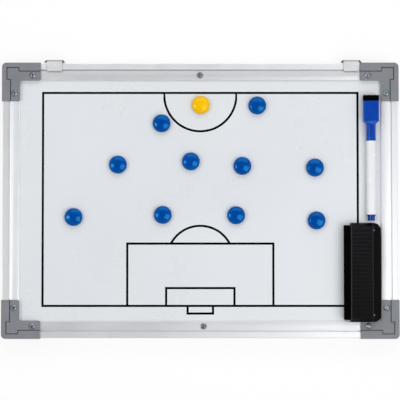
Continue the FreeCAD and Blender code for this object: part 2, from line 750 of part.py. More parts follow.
def screw(label, x, y, seat):
    """Makes a pan head screw with a cross recess, seated at a stated height."""
    body = new_body(label)
    turn(body, [
        ("0", "-screw_length"),
        ("screw_shank_radius", "screw_tip - screw_length"),
        ("screw_shank_radius", "0"),
        ("screw_head_radius", "0"),
        ("screw_head_radius", "screw_head_rim", "0", "screw_head_height - head_dome_radius", "left"),
        ("0", "screw_head_height"),
    ])
    recess = new_sketch(body, "XY_Plane", "screw_head_height - cross_depth")
    arm = "cross_span / 2"
    side = "cross_width / 2"
    quadrant = [(arm, f"-{side}"), (arm, side), (side, side)]
    points = []
    for step in range(4):
        points += quadrant
        quadrant = [(f"-({py})", px) for px, py in quadrant]
    outline(recess, points)
    pocket(body, recess, "cross_depth + overrun", along_normal=True)
    place(body, x, y, seat)
    return body


def screws():
    """Makes two screws for each corner and one in the middle of the top and bottom rails."""
    pair = [
        screw("corner_screw_along", "screw_end_x", "screw_y", "plate_top"),
        screw("corner_screw_up", "screw_x", "screw_end_y", "plate_top"),
    ]
    keep(at_four_corners("corner_screw_set", pair), "corner_screws")
    middle = [
        screw("top_screw", "-top_screw_shift", "screw_y", "rail_screw_seat"),
        screw("bottom_screw", "bottom_screw_shift", "-screw_y", "rail_screw_seat"),
    ]
    keep(group("rail_screw_set", middle), "rail_screws")


# Panel

def bar(name, x0, y0, x1, y1):
    """Makes a straight printed line, centred on the line between two points."""
    ends = [f"({x0}) - half_line", f"({y0}) - half_line", "ink_base"]
    far = [f"({x1}) + half_line", f"({y1}) + half_line", "writing_face"]
    return box("line_" + name, *ends, *far)


def three_sides(name, half, near, far):
    """Makes the printed lines of an area that stands on the goal line."""
    low, high = (near, far) if value(near) < value(far) else (far, near)
    return [
        bar(name + "_left", f"-({half})", low, f"-({half})", high),
        bar(name + "_right", half, low, half, high),
        bar(name + "_front", f"-({half})", far, half, far),
    ]


def ring(name, radius, y, low, high):
    """Makes the part of a printed circle that lies between two heights on the pitch."""
    outside = cylinder(name + "_outside", f"{radius} + half_line", "0", y, "ink_base", "writing_face")
    inside = cylinder(name + "_inside", f"{radius} - half_line", "0", y, "ink_base", "writing_face")
    whole = cut(name + "_whole", outside, inside)
    reach = f"{radius} + overrun"
    window = box(name + "_window", f"-({reach})", low, "ink_base", reach, high, "writing_face")
    piece = doc.addObject("Part::Common", name)
    piece.Base = whole
    piece.Tool = window
    return piece


def pitch_markings():
    """Makes the printed half pitch as one flat inlay."""
    lines = [
        bar("halfway", "-pitch_x", "pitch_top", "pitch_x", "pitch_top"),
        bar("goal_line", "-pitch_x", "pitch_bottom", "pitch_x", "pitch_bottom"),
        bar("touch_left", "-pitch_x", "pitch_bottom", "-pitch_x", "pitch_top"),
        bar("touch_right", "pitch_x", "pitch_bottom", "pitch_x", "pitch_top"),
    ]
    lines += three_sides("penalty", "penalty_width / 2", "pitch_bottom", "penalty_line")
    lines += three_sides("goal_area", "goal_area_width / 2", "pitch_bottom", "pitch_bottom + goal_area_depth")
    lines += three_sides("goal", "goal_width / 2", "pitch_bottom", "pitch_bottom - goal_depth")
    circle_centre = "pitch_top - centre_circle_drop"
    lines.append(ring("centre_half_circle", "centre_circle_radius", circle_centre,
                      f"{circle_centre} - centre_circle_radius - line_width", "pitch_top"))
    arc_centre = "penalty_line - penalty_arc_setback"
    lines.append(ring("penalty_arc", "penalty_arc_radius", arc_centre,
                      "penalty_line", f"{arc_centre} + penalty_arc_radius + line_width"))
    piece = doc.addObject("Part::MultiFuse", "pitch_lines")
    piece.Shapes = lines
    piece.Refine = True
    return keep(piece, "pitch_markings")


def panel_layer(label, z0, z1):
    """Makes one layer of the panel."""
    return box(label, "-panel_x", "-panel_y", z0, "panel_x", "panel_y", z1)


def panel():
    """Makes the panel: printed steel face, fibre core and steel back."""
    markings = pitch_markings()
    bore = ["hole_radius"]
    height = ["hole_bottom", "writing_face + overrun"]
    pair = [
        cylinder("hole_along", *bore, "screw_end_x", "screw_y", *height),
        cylinder("hole_up", *bore, "screw_x", "screw_end_y", *height),
    ]
    holes = [
        at_four_corners("corner_holes", pair),
        cylinder("hole_top", *bore, "-top_screw_shift", "screw_y", *height),
        cylinder("hole_bottom_rail", *bore, "bottom_screw_shift", "-screw_y", *height),
    ]
    core_top = "writing_face - sheet_thickness"
    core_back = "panel_back + sheet_thickness"
    face = panel_layer("face_blank", core_top, "writing_face")
    face_holes = group("face_cuts", holes)
    printed = cut("face_printed", face, markings)
    keep(cut("face_drilled", printed, face_holes), "writing_sheet")
    core = panel_layer("core_blank", core_back, core_top)
    keep(cut("core_drilled", core, face_holes), "panel_core")
    keep(panel_layer("back_blank", "panel_back", core_back), "back_sheet")


# Loose pieces

def hanging_clip(label, x):
    """Makes a clip that slides on the raised band of the top rail, with a keyhole tongue behind the board."""
    body = new_body(label)
    front = "clip_front"
    front_face = "clip_front + clip_wall"
    back = "-clip_gap"
    back_face = "-(clip_gap + clip_wall)"
    hook_front = "rail_depth - hook_depth"
    section = new_sketch(body, "YZ_Plane")
    outline(section, [
        ("clip_rise", back_face),
        ("clip_rise", front_face),
        ("-clip_reach", front_face),
        ("-clip_reach", front),
        ("-hook_end", front),
        ("-hook_end", hook_front),
        ("-hook_start", hook_front),
        ("-hook_start", front),
        ("clip_gap", front),
        ("clip_gap", back),
        ("-hook_start", back),
        ("-hook_start", "hook_depth"),
        ("-hook_end", "hook_depth"),
        ("-hook_end", back),
        ("-clip_reach", back),
        ("-clip_reach", back_face),
    ])
    pad(body, section, "clip_width", both_ways=True)
    round_edges(body, lambda edge: lies_at(edge, "z", front_face), "clip_round")
    groove = new_sketch(body, "XY_Plane", f"{front_face} - clip_groove_depth")
    groove_top = "clip_rise - clip_bead_width"
    groove_side = "(clip_width / 2 + overrun)"
    rectangle(groove, f"-{groove_side}", f"{groove_top} - clip_groove_width", groove_side, groove_top)
    pocket(body, groove, "clip_groove_depth + overrun", along_normal=True)

    plate = new_sketch(body, "XY_Plane", f"{front} - clip_wall")
    wing = "wing_width / 2"
    shoulder = "wing_width / 2 - wing_slope"
    outline(plate, [
        (f"-({shoulder})", "wing_rise"),
        (f"-({wing})", "wing_base"),
        (wing, "wing_base"),
        (shoulder, "wing_rise"),
    ])
    pad(body, plate, "clip_wall")

    tongue = new_sketch(body, "XY_Plane", back_face)
    side = "tongue_width / 2"
    rectangle(tongue, f"-({side})", "-tongue_length", side, "0")
    slot = "keyhole_slot_radius"
    slot_end = "keyhole_slot_length - tongue_hole"
    neck = "keyhole_chord - tongue_hole"
    outline(tongue, [
        (slot, neck),
        (slot, slot_end, "0", slot_end, "left"),
        (f"-{slot}", slot_end),
        (f"-{slot}", neck, "0", "-tongue_hole", "left"),
    ])
    pad(body, tongue, "clip_wall")
    place(body, x, "rail_y", "rail_z")
    keep(body, label)


def magnet(label, x_share, y_share):
    """Makes a round magnet: a domed plastic cap over a ferrite disc."""
    x = f"{x_share} * pitch_x"
    y = f"pitch_top - {y_share} * pitch_height"
    body = new_body(label + "_cap")
    socket = "ferrite_radius + ferrite_gap"
    turn(body, [
        (socket, "0"),
        ("magnet_radius", "0"),
        ("magnet_radius", "shoulder_z", "shoulder_x", "shoulder_z", "left"),
        ("dome_edge_x", "dome_edge_z", "0", "dome_centre", "left"),
        ("0", "magnet_height"),
        ("0", "ferrite_thickness"),
        (socket, "ferrite_thickness"),
    ])
    place(body, x, y, "writing_face")
    keep(body, label + "_cap")
    disc = cylinder(label + "_disc", "ferrite_radius", x, y, "writing_face", "writing_face + ferrite_thickness")
    keep(disc, label + "_ferrite")


def magnets():
    """Makes the goalkeeper's magnet and those of the field players."""
    magnet("keeper_magnet", *KEEPER_SHARES)
    for number, shares in enumerate(PLAYER_SHARES, 1):
        magnet(f"player_magnet_{number:02d}", *shares)


def eraser_outline(body, lift, half, back, radius):
    """Sketches the eraser's outline, square at the felt side and rounded at the back, at a stated height."""
    sketch = new_sketch(body, "XY_Plane", lift)
    round_x = f"{back} - {radius}"
    round_y = f"({half} - {radius})"
    outline(sketch, [
        ("0", f"-{half}"),
        (round_x, f"-{half}", round_x, f"-{round_y}", "left"),
        (back, f"-{round_y}"),
        (back, round_y, round_x, round_y, "left"),
        (round_x, half),
        ("0", half),
    ])
    return sketch


def eraser_shell():
    """Makes the hollow shell with bevelled back and ends, and grip ribs across both flat sides."""
    body = new_body("eraser_shell")
    face = ["eraser_face_half", "eraser_face_back", "eraser_face_radius"]
    full = ["eraser_half", "eraser_back", "eraser_corner_radius"]
    loft(body, [
        eraser_outline(body, "0", *face),
        eraser_outline(body, "eraser_bevel_depth", *full),
        eraser_outline(body, "eraser_thickness - eraser_bevel_depth", *full),
        eraser_outline(body, "eraser_thickness", *face),
    ])
    cavity = new_sketch(body, "YZ_Plane", "-overrun")
    rectangle(cavity, "-cavity_half", "eraser_wall", "cavity_half", "eraser_thickness - eraser_wall")
    pocket(body, cavity, "cavity_depth + overrun", along_normal=True)

    first = "-(eraser_face_half - rib_margin)"
    sides = [f"{first} - rib_groove_width / 2", f"{first} + rib_groove_width / 2"]
    grooves = []
    for lift in ("eraser_thickness - rib_groove_depth", "-overrun"):
        sketch = new_sketch(body, "XY_Plane", lift)
        rectangle(sketch, "rib_inset", sides[0], "eraser_face_back - rib_inset", sides[1])
        grooves.append(pocket(body, sketch, "rib_groove_depth + overrun", along_normal=True))
    ribs = body.newObject("PartDesign::LinearPattern", "eraser_ribs")
    ribs.Originals = grooves
    ribs.Direction = (next(f for f in body.Origin.OriginFeatures if f.Role == "Y_Axis"), [""])
    ribs.setExpression("Length", bind("rib_run"))
    ribs.Occurrences = RIB_COUNT
    body.Tip = ribs
    doc.recompute()
    place(body, "eraser_x", "eraser_y", "writing_face")
    keep(body, "eraser_shell")


def eraser():
    """Makes the eraser, lying on its side with its felt to the left."""
    eraser_shell()
    inside = "(cavity_half - base_plate_gap)"
    low = "writing_face + eraser_wall + base_plate_gap"
    high = "writing_face + eraser_thickness - eraser_wall - base_plate_gap"
    plate_back = "eraser_x + base_plate_thickness"
    keep(box("plate_blank", "eraser_x", f"eraser_y - {inside}", low,
             plate_back, f"eraser_y + {inside}", high), "eraser_base_plate")
    felt_half = "(eraser_half - felt_end_inset)"
    felt_low = "writing_face + felt_side_inset"
    felt_top = "writing_face + eraser_thickness - felt_side_inset"
    keep(box("felt_blank", "eraser_x - felt_thickness", f"eraser_y - {felt_half}", felt_low,
             "eraser_x", f"eraser_y + {felt_half}", felt_top), "eraser_felt")
    middle = "writing_face + eraser_thickness / 2"
    keep(box("bar_blank", plate_back, "eraser_y - bar_magnet_length / 2", f"{middle} - bar_magnet_width / 2",
             f"{plate_back} + bar_magnet_thickness", "eraser_y + bar_magnet_length / 2",
             f"{middle} + bar_magnet_width / 2"), "eraser_bar_magnet")


def lay_marker_piece(body, label):
    """Lays a piece of the marker on the board, tail toward the eraser."""
    place(body, "marker_x", "marker_y", "marker_z", LYING_TURN)
    keep(body, label)


def turned_marker_piece(label, corners):
    """Makes a round piece of the marker from its half section, measured from the tail."""
    body = new_body(label)
    turn(body, corners)
    lay_marker_piece(body, label)


def marker_body():
    """Makes the barrel with its tail plug, ink reservoir, nib holder and nib."""
    turned_marker_piece("marker_barrel", [
        ("barrel_bore", "plug_length"),
        ("barrel_radius", "plug_length"),
        ("barrel_radius", "cap_start"),
        ("neck_radius", "cap_start"),
        ("neck_radius", "neck_end"),
        ("neck_bore", "neck_end"),
        ("neck_bore", "bore_end"),
        ("barrel_bore", "bore_end"),
    ])
    groove = "plug_radius - plug_groove_depth"
    insert = "barrel_bore - inner_gap"
    lands = [f"{step} * plug_groove" for step in range(1, 6)]
    turned_marker_piece("marker_end_plug", [
        ("0", "0"),
        (groove, "0"),
        ("plug_radius", lands[0]),
        ("plug_radius", lands[1]),
        (groove, lands[1]),
        (groove, lands[2]),
        ("plug_radius", lands[2]),
        ("plug_radius", lands[3]),
        (groove, lands[3]),
        (groove, lands[4]),
        ("plug_radius", lands[4]),
        ("plug_radius", "plug_length - plug_flange"),
        ("barrel_radius", "plug_length - plug_flange"),
        ("barrel_radius", "plug_length"),
        (insert, "plug_length"),
        (insert, "reservoir_start"),
        ("0", "reservoir_start"),
    ])
    fill = "neck_bore - inner_gap"
    turned_marker_piece("marker_reservoir", [
        ("0", "reservoir_start"),
        (fill, "reservoir_start"),
        (fill, "bore_end"),
        ("0", "bore_end"),
    ])
    turned_marker_piece("marker_nib_holder", [
        ("nib_radius", "bore_end"),
        ("neck_bore", "bore_end"),
        ("neck_bore", "neck_end"),
        ("holder_tip_radius", "holder_end"),
        ("nib_radius", "holder_end"),
    ])
    turned_marker_piece("marker_nib", [
        ("0", "bore_end"),
        ("nib_radius", "bore_end"),
        ("nib_radius", "nib_end - nib_tip_length"),
        ("nib_tip_radius", "nib_end"),
        ("0", "nib_end"),
    ])


def marker_cap():
    """Makes the cap: a round sleeve that flares to a flat head, with a magnet in it and felt on its end."""
    body = new_body("marker_cap")
    sleeve_end = "cap_start + cap_sleeve"
    sleeve = new_sketch(body, "XY_Plane", "cap_start")
    circle(sleeve, "0", "0", "cap_radius")
    pad(body, sleeve, "cap_sleeve")
    neck = new_sketch(body, "XY_Plane", sleeve_end)
    rounded_rectangle(neck, "cap_radius", "cap_radius", f"{SLEEVE_ROUND_SHARE} * cap_radius")
    root = new_sketch(body, "XY_Plane", "head_start")
    head_outline = ["head_width / 2", "head_thickness / 2", "head_corner_radius"]
    rounded_rectangle(root, *head_outline)
    loft(body, [neck, root])
    head = new_sketch(body, "XY_Plane", "head_start")
    rounded_rectangle(head, *head_outline)
    pad(body, head, "head_length")

    bore = new_sketch(body, "XY_Plane", "cap_start - overrun")
    circle(bore, "0", "0", "cap_bore")
    pocket(body, bore, "nib_end + cap_end_room - cap_start + overrun", along_normal=True)
    socket = new_sketch(body, "XZ_Plane", "-(head_thickness / 2 + overrun)")
    disc_place = ["0", "head_end - disc_end_gap"]
    circle(socket, *disc_place, "disc_radius + inner_gap")
    pocket(body, socket, "disc_thickness + overrun", along_normal=True)
    lay_marker_piece(body, "marker_cap")

    disc = new_body("marker_cap_magnet")
    face = new_sketch(disc, "XZ_Plane", "-(head_thickness / 2)")
    circle(face, *disc_place, "disc_radius")
    pad(disc, face, "disc_thickness")
    lay_marker_piece(disc, "marker_cap_magnet")

    felt = new_body("marker_cap_felt")
    end = new_sketch(felt, "XY_Plane", "head_end")
    felt_halves = ["head_width / 2 - cap_felt_inset", "head_thickness / 2 - cap_felt_inset"]
    rounded_rectangle(end, *felt_halves, "head_corner_radius")
    pad(felt, end, "cap_felt_length")
    lay_marker_piece(felt, "marker_cap_felt")


# Assembly

def check_and_write():
    """Stops at any failed object or bad shape, then writes one file for each sub-part."""
    doc.recompute()
    for item in doc.Objects:
        if {"Invalid", "Error"} & set(item.State):
            raise ValueError(f"{item.Label} failed: {item.State}")
    for piece in subparts:
        if piece.Shape.isNull() or not piece.Shape.isValid():
            raise ValueError(f"{piece.Label} has no valid shape")
    os.makedirs("parts", exist_ok=True)
    for piece in subparts:
        piece.Shape.exportStep(f"parts/{piece.Label}.step")


sizes = doc.addObject("Spreadsheet::Sheet", "sizes")
places = doc.addObject("Spreadsheet::Sheet", "places")
fill_sheets()
rails()
corners()
screws()
panel()
hanging_clip("hanging_clip_left", "left_clip_x")
hanging_clip("hanging_clip_right", "right_clip_x")
magnets()
eraser()
marker_body()
marker_cap()
check_and_write()
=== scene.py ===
import json
import math

import bmesh
import bpy
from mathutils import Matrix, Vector, noise


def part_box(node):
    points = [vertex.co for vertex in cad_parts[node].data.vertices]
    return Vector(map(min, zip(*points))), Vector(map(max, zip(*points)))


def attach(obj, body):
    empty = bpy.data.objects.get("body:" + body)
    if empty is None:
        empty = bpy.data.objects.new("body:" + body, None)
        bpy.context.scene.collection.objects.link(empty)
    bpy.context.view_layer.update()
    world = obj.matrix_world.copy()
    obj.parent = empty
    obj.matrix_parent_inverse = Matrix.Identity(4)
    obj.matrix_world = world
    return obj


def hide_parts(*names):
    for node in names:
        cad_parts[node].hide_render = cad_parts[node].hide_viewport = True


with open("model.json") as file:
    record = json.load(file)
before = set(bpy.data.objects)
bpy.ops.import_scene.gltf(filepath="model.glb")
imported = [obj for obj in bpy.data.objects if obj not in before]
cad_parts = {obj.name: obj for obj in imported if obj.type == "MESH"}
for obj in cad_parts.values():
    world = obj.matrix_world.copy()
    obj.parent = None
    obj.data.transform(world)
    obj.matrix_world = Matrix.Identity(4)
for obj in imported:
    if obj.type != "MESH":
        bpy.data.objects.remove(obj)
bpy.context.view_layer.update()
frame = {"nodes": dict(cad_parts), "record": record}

# Millimetres in metres
MM = 0.001

# Camera: over the board, with the rails' front at this distance, and a little toward the lower rail
CAMERA_DISTANCE = 1.8
CAMERA_TILT = math.radians(2.0)
CAMERA_LENS = 142.6
CAMERA_SENSOR = 36.0
CAMERA_REACH = 50.0
RAIL_FRONT = 18.2 * MM
VIEW_CENTRE = (-0.35 * MM, 0.4 * MM)

# Relief: heights of moulded grain, die lines and nap, and the share of tufts in a nap
GRAIN_HEIGHT = 0.15 * MM
LINE_HEIGHT = 0.08 * MM
NAP_HEIGHT = 0.3 * MM
TUFT_SHARE = 0.6

# Edges: how well the rounded normal agrees with the flat one, at a full edge and off it, and the share of the
# paler colour that handling leaves on a full edge
EDGE_TURN = (0.8, 1.0)
EDGE_RUB = 0.5

# Painted shade in grooves and seams: openness of a groove that is fully shaded and of one that is not, and
# how near the walls of a seam or a groove have to be
SHADED_OPENNESS = (0.35, 0.75)
SEAM_REACH = 1.2 * MM
GROOVE_REACH = 2.0 * MM

# Plastic: steps in a metre at which its tone drifts, and at which its gloss does
PLASTIC_DRIFT = 45.0
PLASTIC_GLOSS_DRIFT = 90.0

# Rails: steps in a metre of the die lines, along and across a rail, and how far the groove's inner and outer
# sides are from the rail's outer edge
LINES_ALONG = 0.8
LINES_ACROSS = 1900.0
GROOVE_SIDES = (8.4 * MM, 7.1 * MM)

# Rails: axis across the rail, depth of the die lines, grey of the painted shade in the groove, and the
# painted light and shade on the outer and inner bands, as tones that lighten or darken them
RAILS = {
    "top_rail": ("Y", 0.7, 0.3, 1.14, 0.94),
    "bottom_rail": ("Y", 0.7, 0.65, 1.0, 0.96),
    "left_rail": ("X", 1.8, 0.85, 0.94, 1.12),
    "right_rail": ("X", 1.8, 0.65, 1.03, 1.04),
}

# Writing face: steps in a metre of the wiping marks along each axis, the share of haze in the thickest marks,
# and the values of their noise between which it sets in
WIPE_STEPS = (16.0, 190.0, 1.0)
HAZE_SHARE = 0.15
HAZE_NOISE = (0.4, 0.9)

# Back sheet: steps in a metre of the spangle, the greys between which its facets lie, and steps in a metre of
# the rolling marks along each axis
SPANGLE_STEPS = 130.0
SPANGLE_GREYS = (0.1, 0.9)
ROLLING_STEPS = (20.0, 900.0, 1.0)

# Screws: steps in a metre of the turning marks along each axis
TURNING_STEPS = (900.0, 900.0, 2600.0)

# Clips: heights above the ground between which the silver lacquer sets in, and steps in a metre of its drift
LACQUER_HEIGHTS = (18.55 * MM, 18.85 * MM)
LACQUER_DRIFT = 120.0

# Marker: two painted highlights along its tail plug, each this far from the middle
PLUG_HIGHLIGHT_OFFSET = 1.15 * MM
PLUG_HIGHLIGHT_WIDTH = 0.9 * MM

# Eraser: ridge between the grip and the back bevel, from the shell's back, and width and greys of the painted
# highlights along two edges, the left one and this ridge
BEVEL_RIDGE = 9.6 * MM
EDGE_HIGHLIGHT_WIDTH = 1.2 * MM
LEFT_EDGE_HIGHLIGHT = 0.03
RIDGE_HIGHLIGHT = 0.018

# Eraser: how far the shell faces up where the painted light on its grip begins and where it is full, the
# depths below its top between which a groove's painted shade ends, and the shares of that painted light that
# grooves and its lower end keep
GRIP_FACING = (0.93, 0.99)
RIB_SHADE = (0.25 * MM, 0.1 * MM)
GROOVE_PAINTED_SHADE = 0.4
LOWER_END_PAINTED_SHADE = 0.3

# Eraser: two painted glints just behind the ends of the ridge
GLINT_FROM_END = 8.2 * MM
GLINT_BEHIND_RIDGE = 1.1 * MM
GLINT_DROP = 0.8 * MM
GLINT_RADII = (0.7 * MM, 1.7 * MM)

# Felt: step of its mesh, shares of the rounded margin where it is cut as well, depth of the matting, its
# steps in a metre with their fall-off, growth and number of octaves, and the rounding of both pieces
FELT_STEP = 1.3 * MM
MARGIN_CUTS = (0.0, 0.3, 0.65)
FELT_ROUGH = 0.14 * MM
FELT_FINENESS = 420.0
FELT_FRACTAL = (1.0, 2.0, 3)
ERASER_FELT_ROUND = 0.9 * MM
CAP_FELT_ROUND = 0.6 * MM

# Felt: the eraser's layers, which show where it faces this far along -X, depth and sharpness of the gaps
# between them, and how far, in layers, and in how many steps in a metre they stray
ERASER_LAYERS = 8
LAYERED_FACING = -0.5
LAYER_DEPTH = 0.5 * MM
LAYER_SHARPNESS = 6
LAYER_DRIFT = 0.12
LAYER_WAVES = 60.0

# Studio: light along the horizon, from the walls, and from straight above as a share of the walls' light,
# the heights at which each passes into the next, the heights between which the white backdrop ends,
# the floor's half width, and the share of the floor's white that is its own
HORIZON_LIGHT = 0.2
WALL_LIGHT = 0.69
ZENITH_SHARE = 0.08
WALL_HEIGHTS = (0.1, 0.45)
ZENITH_HEIGHTS = (0.72, 0.94)
BACKDROP_HEIGHTS = (0.1, 0.16)
FLOOR_REACH = 12.0
FLOOR_GLOW = 0.8

# Studio: place, width, height and power of each lamp
LAMPS = {
    "left_softbox": ((-1.0, -0.04, 1.22), 0.45, 0.45, 4.5),
    "right_softbox": ((0.76, -0.35, 1.42), 0.8, 1.1, 9.3),
    "window": ((0.15, 1.15, 1.1), 1.6, 1.0, 6.5),
}


# Nodes

def colour(red, green, blue):
    """A linear colour."""
    return (red, green, blue, 1.0)


def plug_in(tree, value, socket):
    """Links a socket to another one, or gives it a plain value."""
    if isinstance(value, bpy.types.NodeSocket):
        tree.links.new(value, socket)
    else:
        socket.default_value = value


def reckon(tree, operation, *values):
    """Works out a number from others."""
    node = tree.nodes.new("ShaderNodeMath")
    node.operation = operation
    for value, socket in zip(values, node.inputs):
        plug_in(tree, value, socket)
    return node.outputs["Value"]


def reckon_vectors(tree, operation, first, second):
    """Works out a vector or a number from two vectors, and returns both sockets."""
    node = tree.nodes.new("ShaderNodeVectorMath")
    node.operation = operation
    for value, socket in zip((first, second), node.inputs):
        plug_in(tree, value, socket)
    return node.outputs


def axes(tree, vector):
    """Splits a vector into X, Y and Z."""
    node = tree.nodes.new("ShaderNodeSeparateXYZ")
    tree.links.new(vector, node.inputs["Vector"])
    return node.outputs


def point(tree):
    """The object's own coordinates, which are those of the frame at rest."""
    return tree.nodes.new("ShaderNodeTexCoord").outputs["Object"]


def cloud(tree, where, scale, detail, rough=0.55):
    """Adds a noise and returns its value."""
    texture = tree.nodes.new("ShaderNodeTexNoise")
    for label, value in (("Vector", where), ("Scale", scale), ("Detail", detail), ("Roughness", rough)):
        plug_in(tree, value, texture.inputs[label])
    return texture.outputs["Fac"]


def spread(tree, value, low, high, start=0.3, end=0.7):
    """Maps a value to a range, from the range that most noise has or from another."""
    node = tree.nodes.new("ShaderNodeMapRange")
    sockets = {"Value": value, "From Min": start, "From Max": end, "To Min": low, "To Max": high}
    for label, given in sockets.items():
        plug_in(tree, given, node.inputs[label])
    return node.outputs["Result"]


def blend(tree, amount, first, second, how="MIX"):
    """Mixes two colours by a mask. Each may be a socket."""
    mix = tree.nodes.new("ShaderNodeMix")
    mix.data_type = "RGBA"
    mix.blend_type = how
    for label, value in (("Factor", amount), ("A", first), ("B", second)):
        plug_in(tree, value, mix.inputs[label])
    return mix.outputs["Result"]


def bump(tree, height, depth, normal, distance):
    """Adds a bump over a normal and returns the new normal."""
    node = tree.nodes.new("ShaderNodeBump")
    sockets = {"Height": height, "Strength": depth, "Normal": normal, "Distance": distance}
    for label, value in sockets.items():
        plug_in(tree, value, node.inputs[label])
    return node.outputs["Normal"]


def mix_shaders(tree, amount, first, second, output):
    """Mixes two shaders by a mask and links the result to an output."""
    mix = tree.nodes.new("ShaderNodeMixShader")
    for value, socket in zip((amount, first, second), mix.inputs):
        tree.links.new(value, socket)
    tree.links.new(mix.outputs["Shader"], output.inputs["Surface"])


# Shader groups

def new_group(name, inputs, outputs):
    """Starts a shader group with named sockets, and returns it with its given and its wanted sockets."""
    group = bpy.data.node_groups.new(name, "ShaderNodeTree")
    for way, sockets in (("INPUT", inputs), ("OUTPUT", outputs)):
        for label, kind in sockets.items():
            group.interface.new_socket(label, in_out=way, socket_type=f"NodeSocket{kind}")
    given = group.nodes.new("NodeGroupInput").outputs
    wanted = group.nodes.new("NodeGroupOutput").inputs
    return group, given, wanted


def make_soft_edge():
    """Normals that round small edges, and a mask of those edges."""
    group, given, wanted = new_group("soft_edge", {"Radius": "Float"}, {"Normal": "Vector", "Edge": "Float"})
    bevel = group.nodes.new("ShaderNodeBevel")
    bevel.samples = 6
    group.links.new(given["Radius"], bevel.inputs["Radius"])
    flat = group.nodes.new("ShaderNodeNewGeometry").outputs["Normal"]
    turn = reckon_vectors(group, "DOT_PRODUCT", bevel.outputs["Normal"], flat)["Value"]
    group.links.new(bevel.outputs["Normal"], wanted["Normal"])
    group.links.new(spread(group, turn, 1.0, 0.0, *EDGE_TURN), wanted["Edge"])
    return group


def make_painted_groove_shade():
    """A mask of narrow grooves and seams, where painted shade darkens the colour as their walls shut out
    light.
    """
    group, given, wanted = new_group("painted_groove_shade", {"Reach": "Float"}, {"Painted_Shade": "Float"})
    shade = group.nodes.new("ShaderNodeAmbientOcclusion")
    shade.samples = 8
    shade.only_local = True
    group.links.new(given["Reach"], shade.inputs["Distance"])
    group.links.new(spread(group, shade.outputs["AO"], 1.0, 0.0, *SHADED_OPENNESS), wanted["Painted_Shade"])
    return group


def make_tone_drift():
    """A colour that drifts a little lighter and darker over the surface."""
    group, given, wanted = new_group(
        "tone_drift", {"Colour": "Color", "Lighter": "Color", "Scale": "Float"}, {"Colour": "Color"})
    amount = spread(group, cloud(group, point(group), given["Scale"], detail=4.0), 0.0, 1.0)
    group.links.new(blend(group, amount, given["Colour"], given["Lighter"]), wanted["Colour"])
    return group


def make_handled_gloss():
    """Roughness that varies as handled plastic and metal do."""
    group, given, wanted = new_group(
        "handled_gloss", {"Low": "Float", "High": "Float", "Scale": "Float"}, {"Roughness": "Float"})
    value = cloud(group, point(group), given["Scale"], detail=5.0, rough=0.65)
    group.links.new(spread(group, value, given["Low"], given["High"]), wanted["Roughness"])
    return group


def make_moulded_grain():
    """The fine grain of moulded plastic and lacquer."""
    group, given, wanted = new_group(
        "moulded_grain", {"Scale": "Float", "Depth": "Float", "Normal": "Vector"}, {"Normal": "Vector"})
    value = cloud(group, point(group), given["Scale"], detail=2.0)
    group.links.new(bump(group, value, given["Depth"], given["Normal"], GRAIN_HEIGHT), wanted["Normal"])
    return group


def make_drawn_lines():
    """Fine lines along one direction, as an extrusion die or a brush leaves them."""
    group, given, wanted = new_group(
        "drawn_lines", {"Stretch": "Vector", "Depth": "Float", "Normal": "Vector"},
        {"Normal": "Vector", "Streak": "Float"})
    where = reckon_vectors(group, "MULTIPLY", point(group), given["Stretch"])["Vector"]
    value = cloud(group, where, scale=1.0, detail=4.0, rough=0.6)
    group.links.new(bump(group, value, given["Depth"], given["Normal"], LINE_HEIGHT), wanted["Normal"])
    group.links.new(value, wanted["Streak"])
    return group


def make_fibre_nap():
    """Matted fibres: normals, and a mask for colour."""
    group, given, wanted = new_group(
        "fibre_nap", {"Scale": "Float", "Depth": "Float", "Normal": "Vector"},
        {"Normal": "Vector", "Fibre": "Float"})
    fine = cloud(group, point(group), given["Scale"], detail=6.0, rough=0.7)
    tufts = group.nodes.new("ShaderNodeTexVoronoi")
    tufts.feature = "SMOOTH_F1"
    group.links.new(point(group), tufts.inputs["Vector"])
    group.links.new(given["Scale"], tufts.inputs["Scale"])
    height = reckon(group, "MULTIPLY_ADD", tufts.outputs["Distance"], TUFT_SHARE, fine)
    group.links.new(bump(group, height, given["Depth"], given["Normal"], NAP_HEIGHT), wanted["Normal"])
    group.links.new(fine, wanted["Fibre"])
    return group


SOFT_EDGE = make_soft_edge()
PAINTED_GROOVE_SHADE = make_painted_groove_shade()
TONE_DRIFT = make_tone_drift()
HANDLED_GLOSS = make_handled_gloss()
MOULDED_GRAIN = make_moulded_grain()
DRAWN_LINES = make_drawn_lines()
FIBRE_NAP = make_fibre_nap()


# Materials

